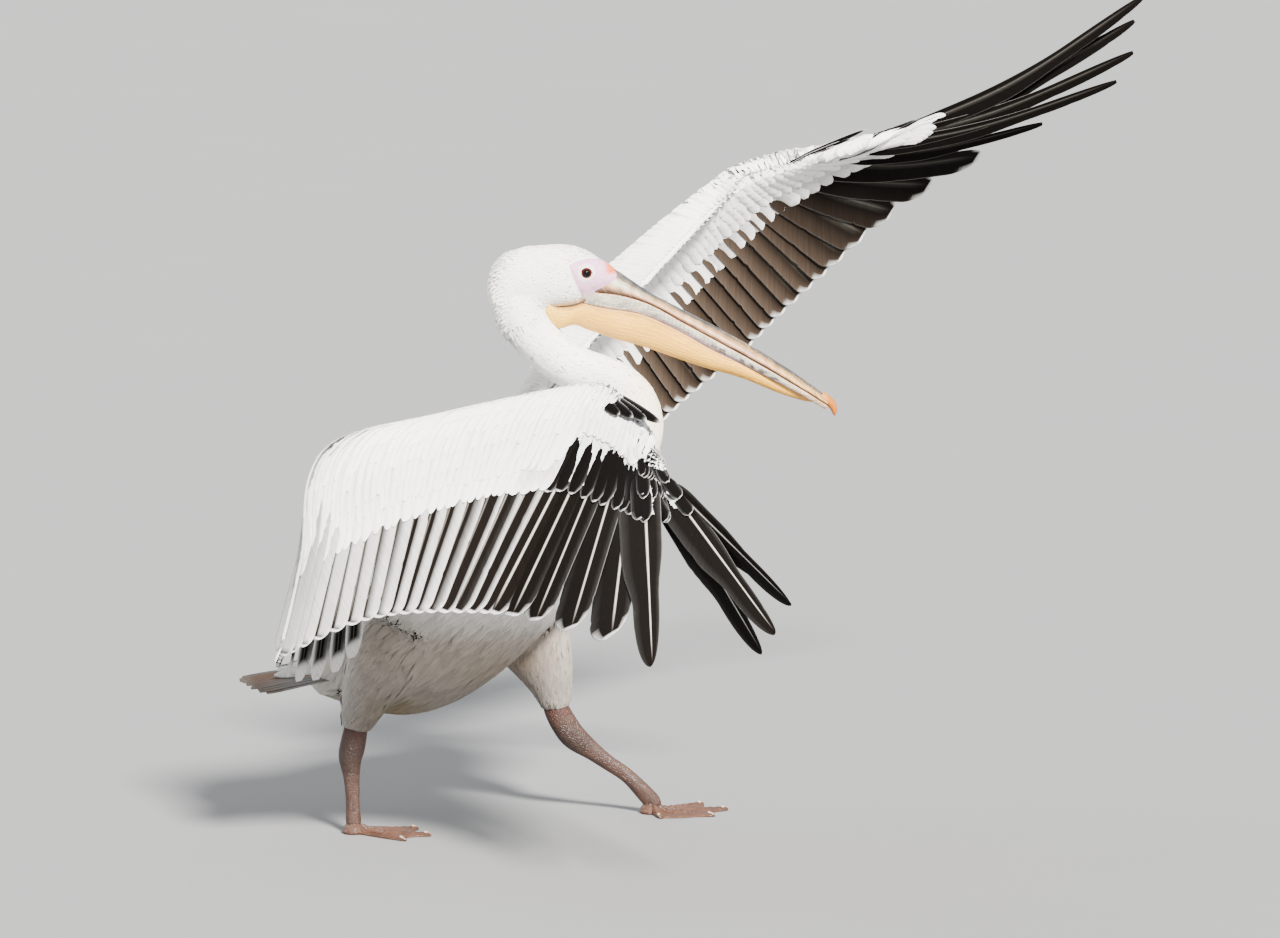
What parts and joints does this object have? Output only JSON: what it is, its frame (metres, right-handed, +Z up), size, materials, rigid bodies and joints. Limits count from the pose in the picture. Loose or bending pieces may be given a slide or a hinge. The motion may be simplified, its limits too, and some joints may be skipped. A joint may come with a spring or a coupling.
{
  "type": "pelican",
  "caption": "Life-size great white pelican wading to its left foot, near wing half folded and drooping, far wing raised and spread, long pouched bill pointing down and ahead.",
  "frame": {"origin": "on the floor under the middle of the bounding box, at the level of the soles", "axes": "+X the way the bird faces, +Y towards its left (raised) wing, +Z up"},
  "size_m": [1.3696, 1.5434, 1.179],
  "materials": {
    "plumage_white": "soft matt feathers",
    "flight_black": "satin feather vanes",
    "bill_horn": "satin horn",
    "pouch_skin": "soft wrinkled skin",
    "nail_orange": "polished horn",
    "eye_dark": "wet gloss",
    "leg_skin": "scaly skin"
  },
  "bodies": {
    "root": {"bill_lower": "bill_horn", "bill_nail": "nail_orange", "bill_upper": "bill_horn", "eye_left": "eye_dark", "eye_right": "eye_dark", "foot_left": "leg_skin", "foot_right": "leg_skin", "head": "plumage_white", "neck_lower": "plumage_white", "neck_upper": "plumage_white", "pouch": "pouch_skin", "tail": "plumage_white", "tarsus_left": "leg_skin", "tarsus_right": "leg_skin", "thigh_left": "plumage_white", "thigh_right": "plumage_white", "trunk": "plumage_white", "wing_left_alula": "flight_black", "wing_left_arm": "plumage_white", "wing_left_forearm": "plumage_white", "wing_left_hand": "plumage_white", "wing_left_primaries": "flight_black", "wing_left_primary_06": "flight_black", "wing_left_primary_07": "flight_black", "wing_left_primary_08": "flight_black", "wing_left_primary_09": "flight_black", "wing_left_primary_10": "flight_black", "wing_left_secondaries": "flight_black", "wing_right_alula": "flight_black", "wing_right_arm": "plumage_white", "wing_right_forearm": "plumage_white", "wing_right_hand": "plumage_white", "wing_right_primaries": "flight_black", "wing_right_primary_08": "flight_black", "wing_right_primary_09": "flight_black", "wing_right_primary_10": "flight_black", "wing_right_secondaries": "flight_black"}
  },
  "joints": []
}
